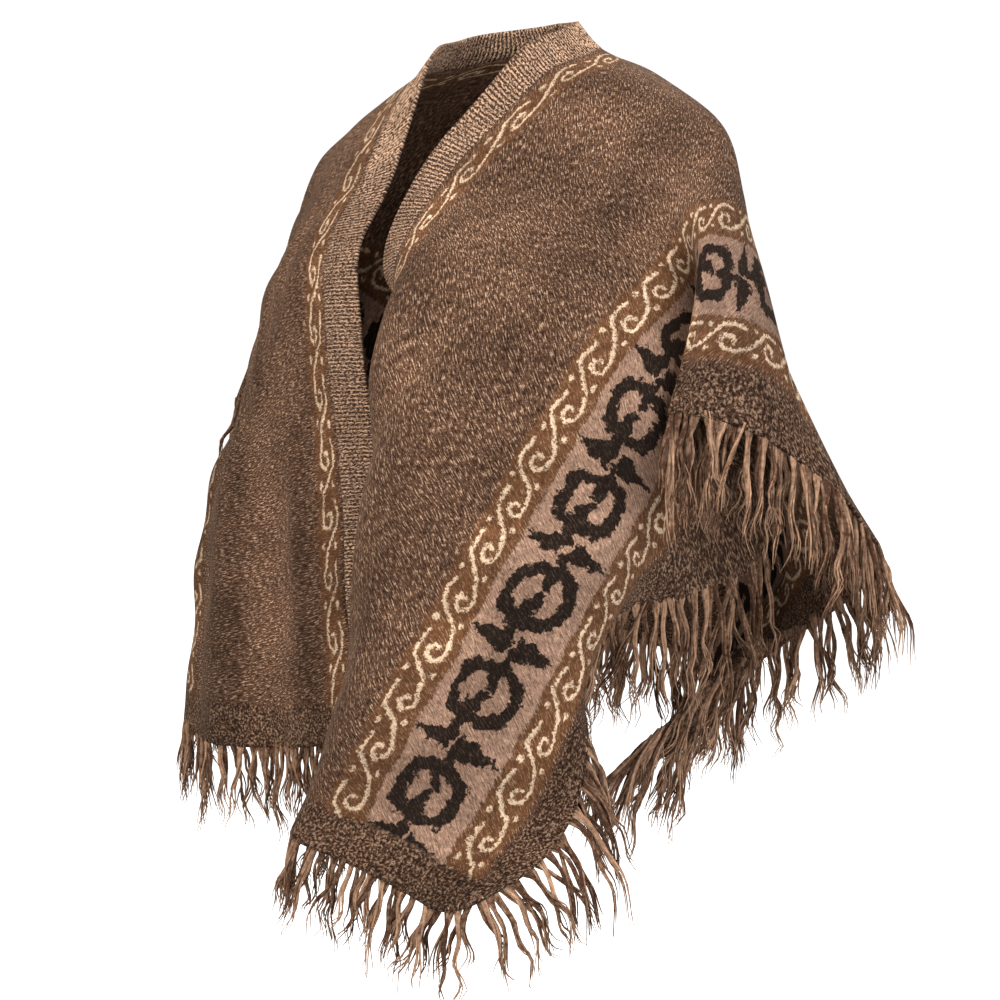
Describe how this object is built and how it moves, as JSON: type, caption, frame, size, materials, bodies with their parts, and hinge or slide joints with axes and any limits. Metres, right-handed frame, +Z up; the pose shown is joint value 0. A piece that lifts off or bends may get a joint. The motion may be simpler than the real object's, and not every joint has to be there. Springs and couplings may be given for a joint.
{
  "type": "andean poncho",
  "caption": "Open-front Andean poncho of two heathered brown wool widths with a ribbed opening band, woven scroll and ring borders and a fringed edge, in its worn hollow form",
  "frame": {"origin": "middle of the base of the neck, level with the tops of the shoulders, where the wearer holds the poncho up", "axes": "+Z up, -Y the way the wearer faces, +X the wearer's left"},
  "size_m": [0.8449, 0.5025, 0.9065],
  "materials": {
    "cloth": "thick fulled wool and alpaca twill, heathered brown with flecks, brushed nap, woven cream scrolls on red-brown borders and dark brown rings on a grey-beige ground",
    "ribbing": "ribbed heathered brown wool band, matte",
    "fringe": "loose twisted wool yarn ends, brown, matte, slightly fuzzy"
  },
  "bodies": {
    "root": {"left_width": "cloth", "left_band": "ribbing", "left_fringe_front": "fringe", "left_fringe_side": "fringe", "left_fringe_arm": "fringe", "left_fringe_behind": "fringe", "left_fringe_back": "fringe", "right_width": "cloth", "right_band": "ribbing", "right_fringe_front": "fringe", "right_fringe_side": "fringe", "right_fringe_arm": "fringe", "right_fringe_behind": "fringe", "right_fringe_back": "fringe"}
  },
  "joints": []
}
